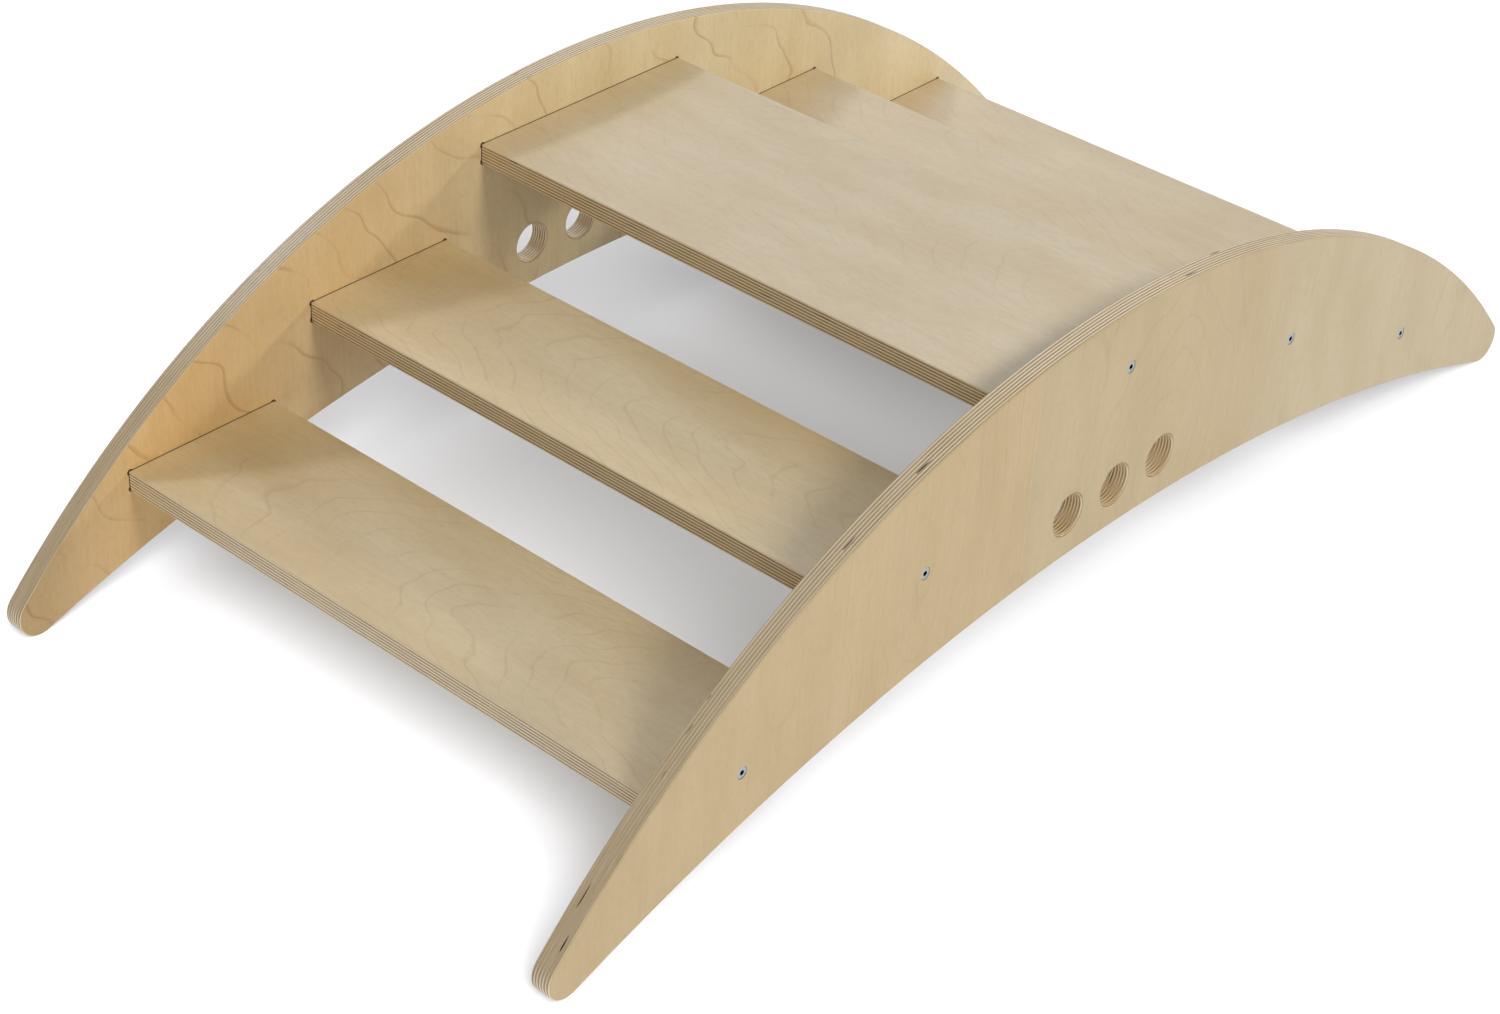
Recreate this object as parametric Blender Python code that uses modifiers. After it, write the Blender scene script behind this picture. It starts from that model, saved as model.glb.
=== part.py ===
"""Birch plywood climbing arch that rocks as a seesaw when it is turned over.

Two equal crescent side panels carry five boards. Each board end sits in a shallow
milled pocket in a panel's inner face and is pulled tight by one screw from outside.

Metres, +Z up. X runs along the length, Y across the width, and the origin is on the
floor under the middle. The arch stands on the four round tips of its panels.
"""

import math

import bmesh
import bpy
from mathutils import Matrix

MM = 0.001

# Overall form
WIDTH = 600 * MM                 # over the outer faces of the two side panels
PLY = 18 * MM                    # thickness of the plywood, panels and boards alike
TIP_SPAN = 1202 * MM             # between the centres of a panel's two round tips
TIP_RADIUS = 19 * MM
TOP_ARC_RADIUS = 835 * MM        # upper edge, which is the rocker when turned over
BOTTOM_ARC_RADIUS = 1780 * MM    # lower edge
EDGE_ROUNDING = 1.5 * MM

# Boards: the height of each top face, and the depth from front to back
LOW_STEP_TOP = 109 * MM
STEP_RISE = 75 * MM
TOP_STEP_DROP = 1 * MM           # the last rise is this much less than the others
STEP_DEPTH = 150 * MM
TOP_STEP_DEPTH = 240 * MM
LOW_STEP_X = 430 * MM            # middle of a low step from the middle of the arch
MID_STEP_X = 237 * MM
BOARD_ROUNDING = 1 * MM

# Joint between a board and a panel
POCKET_DEPTH = 6 * MM
POCKET_CLEARANCE = 0.35 * MM     # round the board's end
END_GAP = 0.3 * MM               # between the board's end and the pocket's floor
EAR_RADIUS = 3 * MM              # corner overcut left by the milling cutter

# Three finger holes in each panel
HOLE_DIAMETER = 35 * MM
HOLE_PITCH = 60 * MM
HOLE_Z = 142 * MM

# Connecting screw with a countersunk head and a hexagon socket
HEAD_RADIUS = 5 * MM
HEAD_RIM = 0.6 * MM
HEAD_RECESS = 0.3 * MM           # head below the panel's outer face
SHOULDER_RADIUS = 3.6 * MM
SHOULDER_LENGTH = 11 * MM        # from the head's top to the first thread
CREST_RADIUS = 3.5 * MM
CORE_RADIUS = 2.5 * MM
THREAD_PITCH = 3.2 * MM
SCREW_LENGTH = 50 * MM
POINT_LENGTH = 5 * MM
SOCKET_WIDTH = 4 * MM            # across flats
SOCKET_DEPTH = 3 * MM
SCREW_GAP = 0.3 * MM             # between the screw and its bore

# Facets
TOP_ARC_STEPS = 48               # even, so that one point is the crest
BOTTOM_ARC_STEPS = 32
TIP_STEPS = (2, 5, 3)            # lower arc to lowest point, to outermost, to upper arc
HOLE_STEPS = 24
EAR_STEPS = 5                    # odd, so that no point falls on the corner itself
THREAD_STEPS = 8                 # per turn
TURNED_STEPS = 16
BORE_STEPS = 16

MERGE = 0.00001
QUARTER = math.pi / 2


# ---------------------------------------------------------------- scene and helpers

def clear_scene():
    for item in list(bpy.data.objects):
        bpy.data.objects.remove(item, do_unlink=True)


def new_collection(name):
    collection = bpy.data.collections.new(name)
    bpy.context.scene.collection.children.link(collection)
    return collection


def new_material(name, colour, roughness, metallic=0.0):
    material = bpy.data.materials.new(name)
    material.use_nodes = True
    shader = material.node_tree.nodes["Principled BSDF"]
    shader.inputs["Base Color"].default_value = (*colour, 1.0)
    shader.inputs["Roughness"].default_value = roughness
    shader.inputs["Metallic"].default_value = metallic
    material.diffuse_color = (*colour, 1.0)
    return material


def new_object(name, data, collection):
    item = bpy.data.objects.new(name, data)
    collection.objects.link(item)
    return item


def evaluated_mesh(item, name):
    """The mesh that an object shows, with its modifiers, in its own axes."""
    bpy.context.view_layer.update()
    graph = bpy.context.evaluated_depsgraph_get()
    mesh = bpy.data.meshes.new_from_object(item.evaluated_get(graph))
    mesh.name = name
    return mesh


def weld_flat(mesh):
    """Joins a filled outline's loose caps to its walls, each cap as one flat face."""
    shape = bmesh.new()
    shape.from_mesh(mesh)
    bmesh.ops.remove_doubles(shape, verts=shape.verts, dist=MERGE)
    bmesh.ops.dissolve_limit(shape, angle_limit=math.radians(0.1),
                             verts=shape.verts, edges=shape.edges)
    shape.to_mesh(mesh)
    shape.free()


def cut(item, cutters):
    for cutter in cutters:
        boolean = item.modifiers.new("cut_" + cutter.name, "BOOLEAN")
        boolean.operation = "DIFFERENCE"
        boolean.object = cutter


def round_edges(item, width):
    bevel = item.modifiers.new("rounding", "BEVEL")
    bevel.width = width
    bevel.segments = 1
    bevel.limit_method = "ANGLE"
    bevel.angle_limit = math.radians(40)


def make_cutter(item):
    item.hide_render = True
    item.display_type = "WIRE"


def arc(centre_x, centre_z, radius, start, end, steps):
    """Points on an arc from one angle to another, both ends included."""
    points = []
    for step in range(steps + 1):
        angle = start + (end - start) * step / steps
        x = centre_x + radius * math.cos(angle)
        z = centre_z + radius * math.sin(angle)
        points.append((x, z))
    return points


def flat_piece(name, outline, thickness, collection):
    """A flat piece in the XZ plane, half its thickness on each side of it."""
    curve = bpy.data.curves.new(name, "CURVE")
    curve.dimensions = "2D"
    curve.fill_mode = "BOTH"
    curve.extrude = thickness / 2
    spline = curve.splines.new("POLY")
    spline.points.add(len(outline) - 1)
    for point, (x, z) in zip(spline.points, outline):
        point.co = (x, z, 0.0, 1.0)
    spline.use_cyclic_u = True
    drawn = new_object(name + "_outline", curve, collection)
    mesh = evaluated_mesh(drawn, name)
    bpy.data.objects.remove(drawn, do_unlink=True)
    weld_flat(mesh)
    mesh.transform(Matrix.Rotation(QUARTER, 4, "X"))
    return new_object(name, mesh, collection)


def turned_piece(name, profile, steps, collection):
    """A piece turned round Z from (radius, height) points, listed from the top down."""
    mesh = bpy.data.meshes.new(name)
    shape = bmesh.new()
    verts = [shape.verts.new((radius, 0.0, height)) for radius, height in profile]
    for upper, lower in zip(verts, verts[1:]):
        shape.edges.new((upper, lower))
    shape.to_mesh(mesh)
    shape.free()
    item = new_object(name, mesh, collection)
    screw = item.modifiers.new("turning", "SCREW")
    screw.steps = steps
    screw.render_steps = steps
    screw.use_merge_vertices = True
    screw.merge_threshold = MERGE
    return item


# ---------------------------------------------------------------- side panels

def right_tip(tip_x, lower_angle, upper_angle):
    """The right tip's points, with one at its lowest and one at its outermost place."""
    below, beside, above = TIP_STEPS
    stops = [(lower_angle, -QUARTER, below), (-QUARTER, 0.0, beside), (0.0, upper_angle, above)]
    points = []
    for start, end, steps in stops:
        points = points[:-1] + arc(tip_x, TIP_RADIUS, TIP_RADIUS, start, end, steps)
    return points


def crescent_outline():
    """One panel's outline: two tips, the upper arc and the flatter lower arc.

    Both arcs run tangent into the tips, whose circles touch the floor.
    """
    tip_x = TIP_SPAN / 2
    top_z = TIP_RADIUS - math.sqrt((TOP_ARC_RADIUS - TIP_RADIUS) ** 2 - tip_x ** 2)
    bottom_z = TIP_RADIUS - math.sqrt((BOTTOM_ARC_RADIUS + TIP_RADIUS) ** 2 - tip_x ** 2)
    top_angle = math.atan2(TIP_RADIUS - top_z, tip_x)
    bottom_angle = math.atan2(TIP_RADIUS - bottom_z, tip_x)
    right = right_tip(tip_x, bottom_angle - math.pi, top_angle)
    left = [(-x, z) for x, z in reversed(right)]
    upper = arc(0, top_z, TOP_ARC_RADIUS, top_angle, math.pi - top_angle, TOP_ARC_STEPS)
    lower = arc(0, bottom_z, BOTTOM_ARC_RADIUS,
                math.pi - bottom_angle, bottom_angle, BOTTOM_ARC_STEPS)
    return right[:-1] + upper[:-1] + left[:-1] + lower[:-1]


def side_panel(name, side, cutters, material, collection):
    """A crescent panel, side -1 at the front and +1 at the rear."""
    panel = flat_piece(name, crescent_outline(), PLY, collection)
    panel.location = (0.0, side * (WIDTH - PLY) / 2, 0.0)
    round_edges(panel, EDGE_ROUNDING)
    cut(panel, cutters)
    panel.data.materials.append(material)
    return panel


def pocket_outline(x, z, width, height):
    """A rectangle whose corners are overcut by the round milling cutter."""
    inset = EAR_RADIUS * math.sqrt(0.5)
    points = []
    corners = [(1, 1, 0), (-1, 1, 1), (-1, -1, 2), (1, -1, 3)]
    for right, up, quarters in corners:
        start = math.radians(-45) + quarters * QUARTER
        centre_x = x + right * (width / 2 - inset)
        centre_z = z + up * (height / 2 - inset)
        points += arc(centre_x, centre_z, EAR_RADIUS, start, start + math.pi, EAR_STEPS)
    return points


def pocket_cutter(name, x, z, depth, side, collection):
    """Cuts the pocket for one board end, and runs past the panel's inner face."""
    width = depth + 2 * POCKET_CLEARANCE
    height = PLY + 2 * POCKET_CLEARANCE
    outline = pocket_outline(x, z, width, height)
    thickness = 2 * POCKET_DEPTH
    cutter = flat_piece(name, outline, thickness, collection)
    cutter.location = (0.0, side * (WIDTH / 2 - PLY), 0.0)
    make_cutter(cutter)
    return cutter


def finger_hole_cutter(name, x, collection):
    """Cuts one finger hole through both panels."""
    mesh = bpy.data.meshes.new(name)
    shape = bmesh.new()
    radius = HOLE_DIAMETER / 2
    bmesh.ops.create_cone(shape, cap_ends=True, segments=HOLE_STEPS,
                          radius1=radius, radius2=radius, depth=1.2 * WIDTH)
    shape.to_mesh(mesh)
    shape.free()
    cutter = new_object(name, mesh, collection)
    cutter.rotation_euler = (QUARTER, 0.0, 0.0)
    cutter.location = (x, 0.0, HOLE_Z)
    make_cutter(cutter)
    return cutter


# ---------------------------------------------------------------- boards

def board(name, x, z, depth, cutters, material, collection):
    """A board whose two ends reach into the panels' pockets."""
    length = WIDTH - 2 * (PLY - POCKET_DEPTH) - 2 * END_GAP
    mesh = bpy.data.meshes.new(name)
    shape = bmesh.new()
    bmesh.ops.create_cube(shape, size=1.0)
    bmesh.ops.scale(shape, vec=(depth, length, PLY), verts=shape.verts)
    shape.to_mesh(mesh)
    shape.free()
    item = new_object(name, mesh, collection)
    item.location = (x, 0.0, z)
    round_edges(item, BOARD_ROUNDING)
    cut(item, cutters)
    mesh.materials.append(material)
    return item


# ---------------------------------------------------------------- screws

def bore_cutter(name, x, z, side, collection):
    """The countersunk bore of one screw, through the panel and into the board's end.

    It keeps a gap all round the screw. The cone's gap is measured square to the cone,
    and the bore's flats, not its corners, stand at the stated radius.
    """
    over_flats = 1 / math.cos(math.pi / BORE_STEPS)
    head = (HEAD_RADIUS + SCREW_GAP) * over_flats
    shank = (SHOULDER_RADIUS + SCREW_GAP) * over_flats
    above = 2 * MM
    cone_top = -HEAD_RECESS - HEAD_RIM - SCREW_GAP * math.tan(math.radians(22.5))
    cone_end = cone_top - (head - shank)
    bottom = -HEAD_RECESS - SCREW_LENGTH - 2 * MM
    profile = [(0, above), (head, above), (head, cone_top), (shank, cone_end),
               (shank, bottom), (0, bottom)]
    cutter = turned_piece(name, profile, BORE_STEPS, collection)
    cutter.rotation_euler = (-side * QUARTER, 0.0, 0.0)
    cutter.location = (x, side * WIDTH / 2, z)
    make_cutter(cutter)
    return cutter


def thread_rod(collection):
    """A threaded rod: a one-pitch tooth swept along a helix, closed at both ends."""
    turns = int((SCREW_LENGTH - SHOULDER_LENGTH) / THREAD_PITCH) + 2
    top = -SHOULDER_LENGTH + THREAD_PITCH
    tooth = [(CORE_RADIUS, top), (CREST_RADIUS, top - THREAD_PITCH / 2),
             (CORE_RADIUS, top - THREAD_PITCH)]
    rod = turned_piece("thread_rod", tooth, THREAD_STEPS, collection)
    sweep = rod.modifiers["turning"]
    sweep.screw_offset = -THREAD_PITCH
    sweep.iterations = turns
    mesh = evaluated_mesh(rod, "thread_rod")
    shape = bmesh.new()
    shape.from_mesh(mesh)
    bmesh.ops.remove_doubles(shape, verts=shape.verts, dist=MERGE)
    middle = (top + top - turns * THREAD_PITCH) / 2
    rims = [edge for edge in shape.edges if edge.is_boundary]
    for above in (True, False):
        rim = [edge for edge in rims if (edge.verts[0].co.z > middle) == above]
        height = sum(edge.verts[0].co.z for edge in rim) / len(rim)
        hub = shape.verts.new((0.0, 0.0, height))
        for edge in rim:
            shape.faces.new((edge.verts[0], edge.verts[1], hub))
    bmesh.ops.recalc_face_normals(shape, faces=shape.faces)
    shape.to_mesh(mesh)
    shape.free()
    bpy.data.objects.remove(rod, do_unlink=True)
    return new_object("thread_rod", mesh, collection)


def screw_mesh(collection):
    """The whole screw along -Z from its head's top at 0: pointed thread, head, socket."""
    rod = thread_rod(collection)
    inside = CREST_RADIUS + 0.2 * MM
    point_z = -SCREW_LENGTH
    blank = turned_piece("thread_blank", [
        (0, -SHOULDER_LENGTH + 1.1 * MM),
        (inside, -SHOULDER_LENGTH + 1.1 * MM),
        (inside, point_z + POINT_LENGTH),
        (1.2 * MM, point_z),
        (0, point_z),
    ], TURNED_STEPS, collection)
    head = turned_piece("screw_head", [
        (0, 0),
        (HEAD_RADIUS, 0),
        (HEAD_RADIUS, -HEAD_RIM),
        (SHOULDER_RADIUS, -HEAD_RIM - (HEAD_RADIUS - SHOULDER_RADIUS)),
        (SHOULDER_RADIUS, -SHOULDER_LENGTH),
        (0, -SHOULDER_LENGTH),
    ], TURNED_STEPS, collection)
    socket_mesh = bpy.data.meshes.new("hexagon_socket")
    shape = bmesh.new()
    corner = SOCKET_WIDTH / 2 / math.cos(math.radians(30))
    bmesh.ops.create_cone(shape, cap_ends=True, segments=6,
                          radius1=corner, radius2=corner, depth=2 * SOCKET_DEPTH)
    shape.to_mesh(socket_mesh)
    shape.free()
    socket = new_object("hexagon_socket", socket_mesh, collection)
    steps = [("INTERSECT", blank), ("UNION", head), ("DIFFERENCE", socket)]
    for operation, other in steps:
        boolean = rod.modifiers.new(other.name, "BOOLEAN")
        boolean.operation = operation
        boolean.object = other
    mesh = evaluated_mesh(rod, "connecting_screw")
    for item in (rod, blank, head, socket):
        bpy.data.objects.remove(item, do_unlink=True)
    mesh.shade_smooth()
    mesh.set_sharp_from_angle(angle=math.radians(35))
    return mesh


def screw(name, mesh, x, z, side, turn, collection):
    item = new_object(name, mesh, collection)
    about_axis = Matrix.Rotation(turn, 4, "Z")
    into_panel = Matrix.Rotation(-side * QUARTER, 4, "X")
    place = Matrix.Translation((x, side * (WIDTH / 2 - HEAD_RECESS), z))
    item.matrix_world = place @ into_panel @ about_axis
    return item


# ---------------------------------------------------------------- assembly

def step_table():
    """Name, middle X, middle Z and depth of each board, from left to right."""
    low = LOW_STEP_TOP - PLY / 2
    mid = low + STEP_RISE
    top = mid + STEP_RISE - TOP_STEP_DROP
    return [
        ("low_left", -LOW_STEP_X, low, STEP_DEPTH),
        ("mid_left", -MID_STEP_X, mid, STEP_DEPTH),
        ("top", 0.0, top, TOP_STEP_DEPTH),
        ("mid_right", MID_STEP_X, mid, STEP_DEPTH),
        ("low_right", LOW_STEP_X, low, STEP_DEPTH),
    ]


def build():
    clear_scene()
    arch = new_collection("plywood_seesaw_arch")
    cutting = new_collection("cutters")
    birch_face = new_material("birch_plywood_panel", (0.57, 0.44, 0.26), 0.55)
    birch_board = new_material("birch_plywood_board", (0.60, 0.52, 0.38), 0.55)
    zinc = new_material("zinc_plated_steel", (0.55, 0.57, 0.60), 0.35, 1.0)

    holes = []
    for index in (-1, 0, 1):
        holes.append(finger_hole_cutter(f"hole_{index + 2}", index * HOLE_PITCH, cutting))

    fastener = screw_mesh(cutting)
    fastener.materials.append(zinc)
    bores = {name: [] for name, *_ in step_table()}
    for side, side_name in ((-1, "front"), (1, "rear")):
        pockets = []
        side_bores = []
        for index, (name, x, z, depth) in enumerate(step_table()):
            label = f"{side_name}_{name}"
            pockets.append(pocket_cutter("pocket_" + label, x, z, depth, side, cutting))
            bore = bore_cutter("bore_" + label, x, z, side, cutting)
            side_bores.append(bore)
            bores[name].append(bore)
            turn = math.radians(23) * (index + 1) * side
            screw("screw_" + label, fastener, x, z, side, turn, arch)
        cutters = pockets + holes + side_bores
        side_panel("side_panel_" + side_name, side, cutters, birch_face, arch)

    for name, x, z, depth in step_table():
        board("step_" + name, x, z, depth, bores[name], birch_board, arch)


build()
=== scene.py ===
# %% [markdown]
# # A rocking seesaw in birch plywood
#
# Two crescent side panels hold five boards. Each board's end sits in a shallow pocket in the
# panel and is pulled in by one countersunk screw. Way up, the round tips stand on the floor
# and the boards are steps; turned over, the long upper arc becomes a rocker.
#
# Every size below starts from the fixed frame: the box of each solid says where a piece goes.

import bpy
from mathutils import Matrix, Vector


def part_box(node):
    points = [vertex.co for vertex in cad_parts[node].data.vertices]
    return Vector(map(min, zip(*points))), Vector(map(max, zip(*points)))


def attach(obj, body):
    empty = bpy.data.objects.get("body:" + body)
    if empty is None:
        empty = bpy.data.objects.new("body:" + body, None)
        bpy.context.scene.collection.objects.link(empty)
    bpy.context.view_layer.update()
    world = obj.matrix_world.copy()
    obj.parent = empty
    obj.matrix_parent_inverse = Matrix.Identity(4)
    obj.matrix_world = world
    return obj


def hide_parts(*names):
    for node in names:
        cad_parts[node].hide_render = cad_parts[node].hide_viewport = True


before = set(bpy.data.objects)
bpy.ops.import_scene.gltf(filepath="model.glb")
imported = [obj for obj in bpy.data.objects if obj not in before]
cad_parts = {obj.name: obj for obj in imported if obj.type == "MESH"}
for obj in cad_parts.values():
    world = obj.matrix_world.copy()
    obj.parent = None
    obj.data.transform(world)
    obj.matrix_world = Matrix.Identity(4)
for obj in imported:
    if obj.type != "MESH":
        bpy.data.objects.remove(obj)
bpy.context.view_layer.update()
print("solids in the frame:", len(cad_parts))

# %% [markdown]
# ## Working by hand, in code
#
# In Blender a piece is drawn by selecting something and pulling it about. The same is done here
# with operators. A few small helpers name a new piece, open it in edit mode, select by place or
# direction, pull a selected cap out, apply a modifier, and cut one solid with others.

# %% Helpers for modelling
import math

import bmesh
import bpy
from mathutils import Matrix, Vector

MM = 0.001
WELD = 0.005 * MM
ALONG_Y = (math.radians(90), 0, 0)


def only(piece):
    """Makes one piece the active and only selected one."""
    bpy.ops.object.select_all(action="DESELECT")
    piece.select_set(True)
    bpy.context.view_layer.objects.active = piece


def named(name):
    """Names the primitive just added, and puts its place into its mesh."""
    piece = bpy.context.object
    piece.name = piece.data.name = name
    bpy.ops.object.transform_apply(location=True, rotation=True, scale=True)
    return piece


def edit(piece, kind="VERT"):
    """Opens one piece in edit mode with nothing selected."""
    only(piece)
    bpy.ops.object.mode_set(mode="EDIT")
    bpy.ops.mesh.select_mode(type=kind)
    bpy.ops.mesh.select_all(action="DESELECT")


def pick(piece, kind, test):
    """Selects the verts, edges or faces of the open piece that pass a test."""
    shape = bmesh.from_edit_mesh(piece.data)
    found = [part for part in getattr(shape, kind) if test(part)]
    for part in found:
        part.select_set(True)
    bmesh.update_edit_mesh(piece.data)
    return len(found)


def close(piece):
    """Makes all faces of the open piece point outwards and leaves edit mode."""
    bpy.ops.mesh.select_all(action="SELECT")
    bpy.ops.mesh.normals_make_consistent(inside=False)
    bpy.ops.object.mode_set(mode="OBJECT")
    return piece


def draw_out(axis, along, steps):
    """Pulls the selected cap out along Y once for each (distance, scale) step.

    axis is the (x, z) place of the line that the cap shrinks or grows about.
    """
    for distance, factor in steps:
        bpy.ops.mesh.extrude_region_move(
            TRANSFORM_OT_translate={"value": (0, along * distance, 0)})
        bpy.ops.transform.resize(value=(factor, 1, factor),
                                 center_override=(axis[0], 0, axis[1]))


def apply_modifier(piece, kind, **settings):
    """Adds a modifier, sets it and applies it at once."""
    only(piece)
    modifier = piece.modifiers.new(kind.lower(), kind)
    for key, value in settings.items():
        setattr(modifier, key, value)
    bpy.ops.object.modifier_apply(modifier=modifier.name)


def combine(piece, operation, others):
    """Cuts, joins or intersects a piece with other solids at once, which then go away."""
    tools = bpy.data.collections.new("tools")
    for other in others:
        tools.objects.link(other)
    apply_modifier(piece, "BOOLEAN", operation=operation, operand_type="COLLECTION",
                   collection=tools, solver="EXACT")
    for other in others:
        bpy.data.objects.remove(other, do_unlink=True)
    bpy.data.collections.remove(tools)
    edit(piece)
    bpy.ops.mesh.select_all(action="SELECT")
    bpy.ops.mesh.remove_doubles(threshold=WELD)
    bpy.ops.mesh.dissolve_degenerate(threshold=WELD)
    close(piece)


def size_of(piece):
    """The lowest and the highest corner of a piece."""
    corners = [Vector(corner) for corner in piece.bound_box]
    low = Vector(min(c[i] for c in corners) for i in range(3))
    high = Vector(max(c[i] for c in corners) for i in range(3))
    return low, high


# %% [markdown]
# ## The crescent panels
#
# On the real object a router cuts the crescent from a sheet of 18 mm plywood and a second
# cutter rounds its edges. The rim is four arcs that flow into each other: the high upper arc,
# the flatter lower arc, and a small round tip at each end.
#
# One edge, as long as the sheet is thick, is spun about each arc's centre in turn and leaves
# the whole rim behind it as a ribbon. That gives true arcs with no list of points.

# %% The crescent's driving dimensions
TIP_RADIUS = 19 * MM
UPPER_ARC = 835 * MM
LOWER_ARC = 1780 * MM
EDGE_ROUNDING = 1.5 * MM
ROUNDING_STEPS = 4

panel_low, panel_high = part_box("side_panel_front")
SHEET = panel_high.y - panel_low.y
tip = Vector((panel_high.x - TIP_RADIUS, panel_low.z + TIP_RADIUS))
upper_z = tip.y - math.sqrt((UPPER_ARC - TIP_RADIUS) ** 2 - tip.x ** 2)
lower_z = tip.y - math.sqrt((LOWER_ARC + TIP_RADIUS) ** 2 - tip.x ** 2)
upper_angle = math.asin(tip.x / (UPPER_ARC - TIP_RADIUS))
lower_angle = math.asin(tip.x / (LOWER_ARC + TIP_RADIUS))
print(f"sheet {SHEET / MM:.1f} mm, arcs meet the tips at {math.degrees(upper_angle):.1f}"
      f" and {math.degrees(lower_angle):.1f} degrees from upright")


# %% Spin the rim and close it
def crescent(name, low, high):
    """A closed crescent between two Y faces, with rounded rims and nothing cut in it yet."""
    middle = (low.y + high.y) / 2
    start = Vector((0, upper_z)) + UPPER_ARC * Vector((math.sin(upper_angle),
                                                       math.cos(upper_angle)))
    bpy.ops.mesh.primitive_plane_add(size=high.y - low.y,
                                     location=(start.x + SHEET / 2, middle, start.y))
    panel = named(name)
    edit(panel)
    pick(panel, "verts", lambda v: v.co.x > start.x + SHEET / 2)
    bpy.ops.mesh.delete(type="VERT")
    bpy.ops.mesh.select_all(action="SELECT")
    quarter = math.pi / 2
    # Each arc in turn: the x and z of its centre, its angle, and how many steps it takes.
    arcs = [(0, upper_z, 2 * upper_angle, 160),
            (-tip.x, tip.y, quarter - upper_angle, 10),
            (-tip.x, tip.y, quarter, 20),
            (-tip.x, tip.y, lower_angle, 5),
            (0, lower_z, -2 * lower_angle, 140),
            (tip.x, tip.y, lower_angle, 5),
            (tip.x, tip.y, quarter, 20),
            (tip.x, tip.y, quarter - upper_angle, 10)]
    for x, z, angle, steps in arcs:
        bpy.ops.mesh.spin(steps=steps, angle=angle, center=(x, middle, z), axis=(0, 1, 0))
    bpy.ops.mesh.select_all(action="SELECT")
    bpy.ops.mesh.remove_doubles(threshold=0.01 * MM)
    for side in (-1, 1):
        bpy.ops.mesh.select_mode(type="EDGE")
        bpy.ops.mesh.select_all(action="DESELECT")
        pick(panel, "edges", lambda e: all((v.co.y - middle) * side > 0 for v in e.verts))
        bpy.ops.mesh.edge_face_add()
    bpy.ops.mesh.select_all(action="DESELECT")
    pick(panel, "edges", lambda e: abs(e.verts[0].co.y - e.verts[1].co.y) < SHEET / 2)
    bpy.ops.mesh.bevel(offset=EDGE_ROUNDING, segments=ROUNDING_STEPS, profile=0.5)
    return close(panel)


panels = {}
for node in ("side_panel_front", "side_panel_rear"):
    panels[node] = crescent(node.replace("side_panel", "plywood_panel"), *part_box(node))
    low, high = size_of(panels[node])
    print(node, [round(v / MM, 2) for v in (*low, *high)], len(panels[node].data.polygons))

# %% [markdown]
# ## Pockets, finger holes and screw bores
#
# A milling cutter leaves round corners, so a square board would not go into the pocket. The
# maker drills past each corner with the same cutter: the little round ears at the ends of each
# joint line. The three finger holes get a rounding on both sides, and each screw bore is
# countersunk so that the head ends just below the face.
#
# Each cut is a solid of its own, drawn at its place and taken away from the panel.

# %% Cutters
POCKET_DEPTH = 6 * MM
POCKET_CLEARANCE = 0.35 * MM
EAR_RADIUS = 3 * MM
EAR_INSET = 0.6                # of its radius, from each side of the pocket's corner
HOLE_RADIUS = 17.5 * MM
HOLE_PITCH = 60 * MM
HOLE_Z = 142 * MM
HEAD_RADIUS = 5 * MM
HEAD_RIM = 0.6 * MM
HEAD_RECESS = 0.3 * MM
SHOULDER_RADIUS = 3.6 * MM
SHOULDER_LENGTH = 11 * MM
SCREW_LENGTH = 50 * MM
SCREW_GAP = 0.3 * MM
NEARLY_FLAT = 0.94             # of the quarter turn, so that the cut leaves no sliver
ROUND = 96


def rod(name, x, z, radius, y_from, y_to, sides=ROUND):
    """A round solid along Y, between two places on that axis."""
    bpy.ops.mesh.primitive_cylinder_add(
        vertices=sides, radius=radius, depth=abs(y_to - y_from),
        location=(x, (y_from + y_to) / 2, z), rotation=ALONG_Y)
    return named(name)


def pocket_cutters(x, z, length, height, inner_y):
    """The board-shaped cut and its four corner ears."""
    half_x = length / 2 + POCKET_CLEARANCE
    half_z = height / 2 + POCKET_CLEARANCE
    bpy.ops.mesh.primitive_cube_add(
        size=2, location=(x, inner_y, z), scale=(half_x, POCKET_DEPTH, half_z))
    cutters = [named("pocket")]
    inset = EAR_RADIUS * EAR_INSET
    for side_x in (-1, 1):
        for side_z in (-1, 1):
            cutters.append(rod("ear", x + side_x * (half_x - inset),
                               z + side_z * (half_z - inset), EAR_RADIUS,
                               inner_y - POCKET_DEPTH, inner_y + POCKET_DEPTH, 24))
    return cutters


def hole_cutter(x, low_y, high_y):
    """A finger hole that opens in a quarter round at both faces of the panel."""
    cutter = rod("finger_hole", x, HOLE_Z, HOLE_RADIUS,
                 low_y + EDGE_ROUNDING, high_y - EDGE_ROUNDING)
    steps = []
    radius, height = HOLE_RADIUS, 0
    for step in range(1, ROUNDING_STEPS + 1):
        turn = step / ROUNDING_STEPS * math.pi / 2 * NEARLY_FLAT
        new_height = EDGE_ROUNDING * math.sin(turn)
        new_radius = HOLE_RADIUS + EDGE_ROUNDING * (1 - math.cos(turn))
        steps.append((new_height - height, new_radius / radius))
        radius, height = new_radius, new_height
    steps.append((1 * MM, 1 + 1 * MM / HOLE_RADIUS))
    for along in (-1, 1):
        edit(cutter, "FACE")
        pick(cutter, "faces", lambda f: f.normal.y * along > 0.9)
        draw_out((x, HOLE_Z), along, steps)
        close(cutter)
    return cutter


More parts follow.
